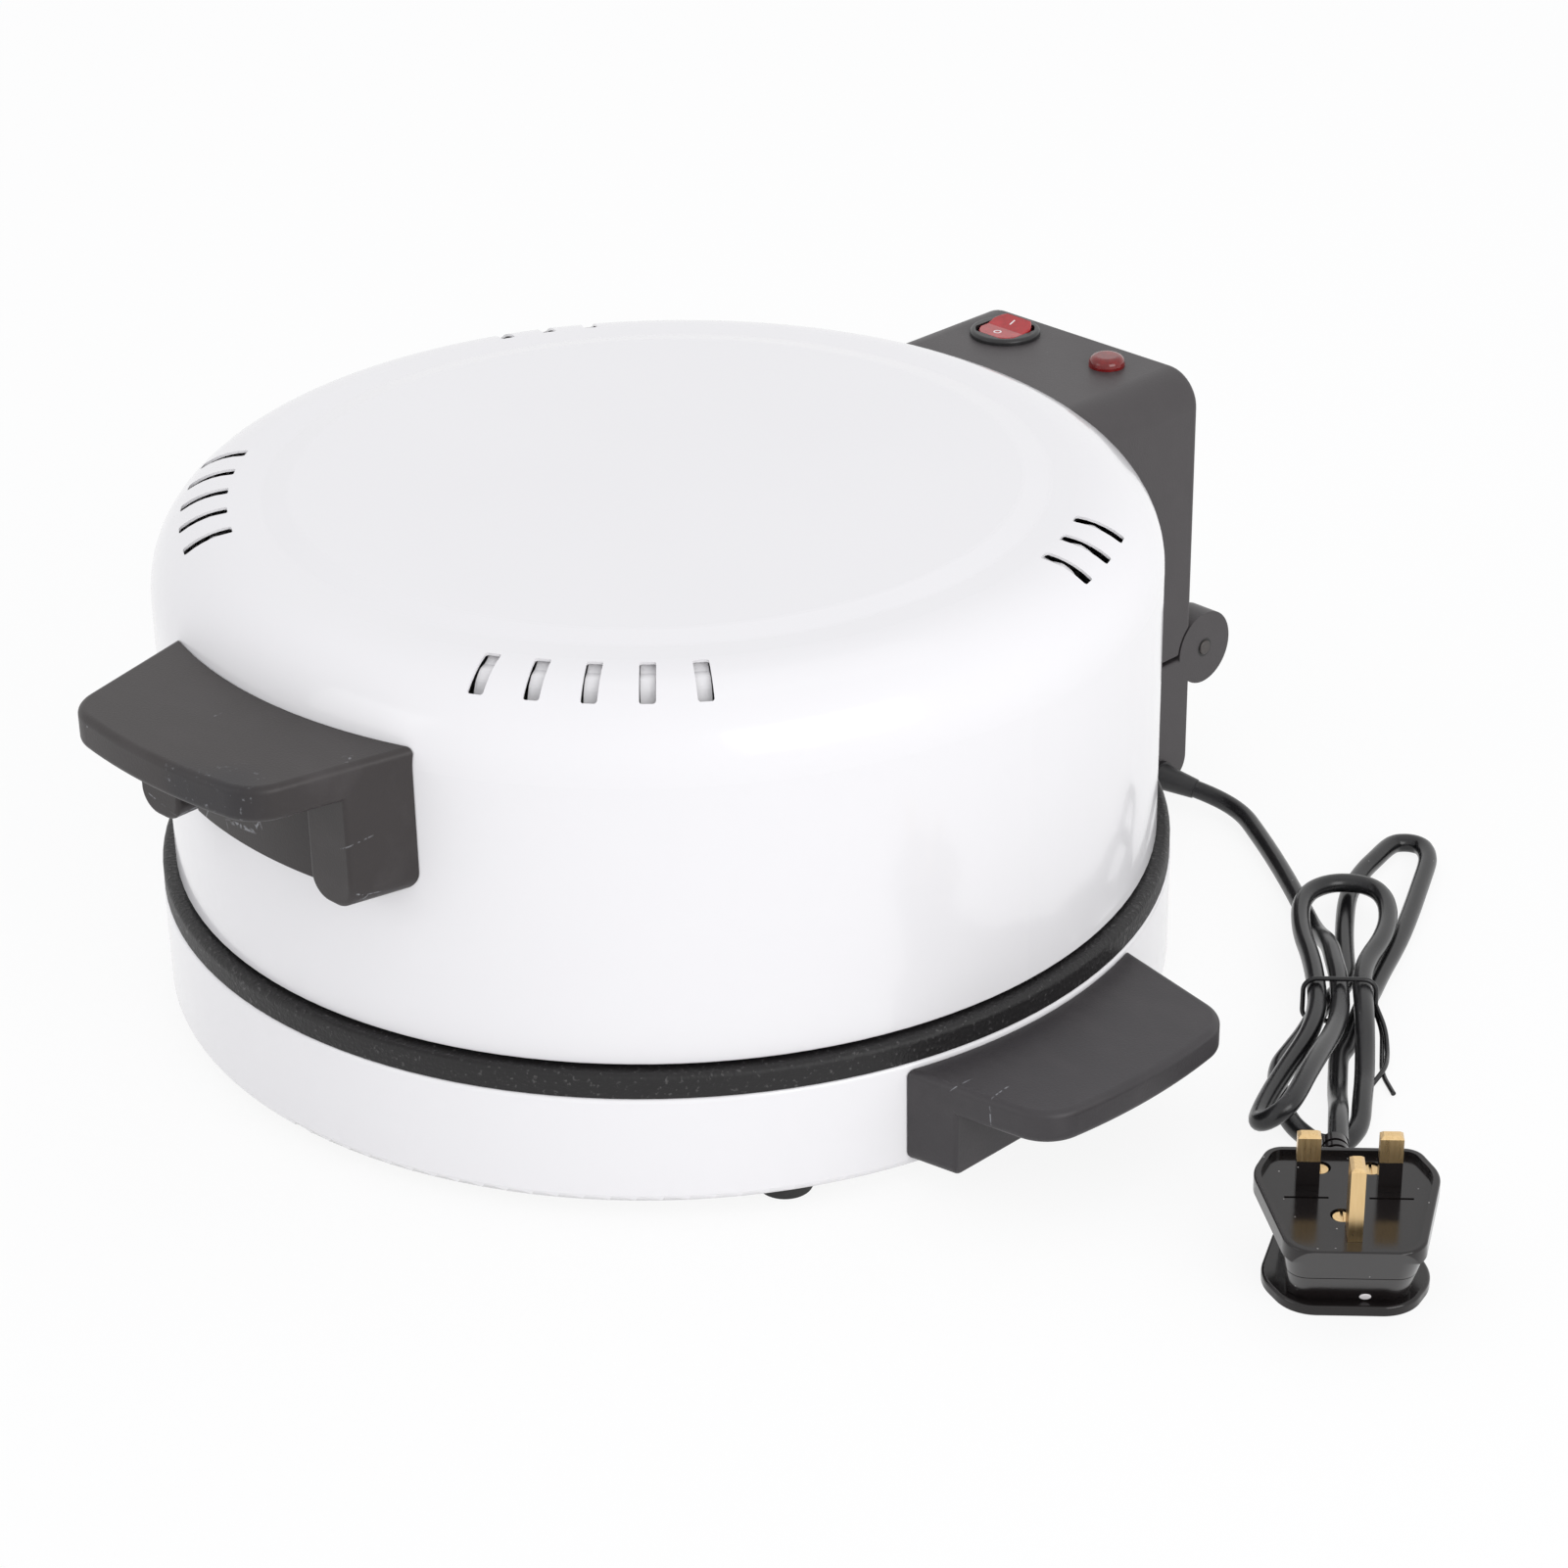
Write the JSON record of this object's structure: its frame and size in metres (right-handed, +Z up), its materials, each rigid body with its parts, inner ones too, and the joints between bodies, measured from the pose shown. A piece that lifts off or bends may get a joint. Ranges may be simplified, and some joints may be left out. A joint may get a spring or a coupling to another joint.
{
  "type": "electric pizza maker",
  "caption": "Electric pizza maker with a round base, a baking pan, a hinged domed lid with a handle, a switch tower at the hinge and a mains cord tied in a hank.",
  "frame": {"origin": "centre of the footprint of the appliance without its cord, at the bottom of the feet", "axes": "+Z up, +Y from the lid handle to the hinge, +X to the side where the cord leaves"},
  "size_m": [0.495, 0.4067, 0.1619],
  "materials": {
    "gloss_paint": "glossy white stove paint on drawn sheet",
    "liner_sheet": "plain rolled aluminium sheet",
    "element_sheath": "dull grey sheath of a tubular heating element",
    "plated_steel": "zinc-plated steel",
    "ceramic": "unglazed off-white ceramic",
    "charcoal_plastic": "fine-grained charcoal phenolic moulding",
    "switch_plastic": "satin black moulding",
    "rocker_red": "translucent red moulding with white on and off marks",
    "lamp_red": "translucent red lens",
    "pan_coating": "textured matte black non-stick coating",
    "foot_rubber": "matte black rubber",
    "thermostat_can": "pressed metal can",
    "contact_metal": "brass blades and brass plug pins",
    "cord_plastic": "smooth black flexible sheath",
    "plug_plastic": "glossy black moulding"
  },
  "bodies": {
    "base": {"base_shell": "gloss_paint", "lower_reflector": "liner_sheet", "lower_element": "element_sheath", "lower_clips": "plated_steel", "base_handle_screws": "plated_steel", "hinge_base_screws": "plated_steel", "foot_screws": "plated_steel", "foot_nuts": "plated_steel", "base_plate": "plated_steel", "hinge_pin": "plated_steel", "terminal_block": "ceramic", "right_base_handle": "charcoal_plastic", "left_base_handle": "charcoal_plastic", "hinge_base": "charcoal_plastic", "cord_gland": "switch_plastic", "baking_pan": "pan_coating", "feet": "foot_rubber", "thermostat": "thermostat_can", "plug_pins": "contact_metal", "plug_screws": "contact_metal", "cord_lead": "cord_plastic", "cord_hank": "cord_plastic", "cord_tail": "cord_plastic", "twist_tie": "cord_plastic", "plug_base": "plug_plastic", "plug_cover": "plug_plastic", "plug_relief": "plug_plastic", "pin_sleeves": "plug_plastic"},
    "lid": {"lid_shell": "gloss_paint", "lid_liner": "liner_sheet", "upper_element": "element_sheath", "upper_clips": "plated_steel", "element_bushings": "ceramic", "lid_handle": "charcoal_plastic", "lid_handle_screws": "plated_steel", "hinge_tower": "charcoal_plastic", "tower_screws": "plated_steel", "switch_housing": "switch_plastic", "switch_terminals": "contact_metal", "pilot_lamp": "lamp_red", "lamp_body": "switch_plastic"},
    "rocker": {"switch_rocker": "rocker_red"}
  },
  "joints": [
    {"name": "lid_hinge", "type": "hinge", "parent": "base", "child": "lid", "pos_m": [0, 0.19065, 0.0505], "axis": [-1, 0, 0], "range_deg": [0, 100]},
    {"name": "rocker_pivot", "type": "hinge", "parent": "lid", "child": "rocker", "pos_m": [-0.0215, 0.16645, 0.1499], "axis": [-1, 0, 0], "range_deg": [0, 20]}
  ]
}
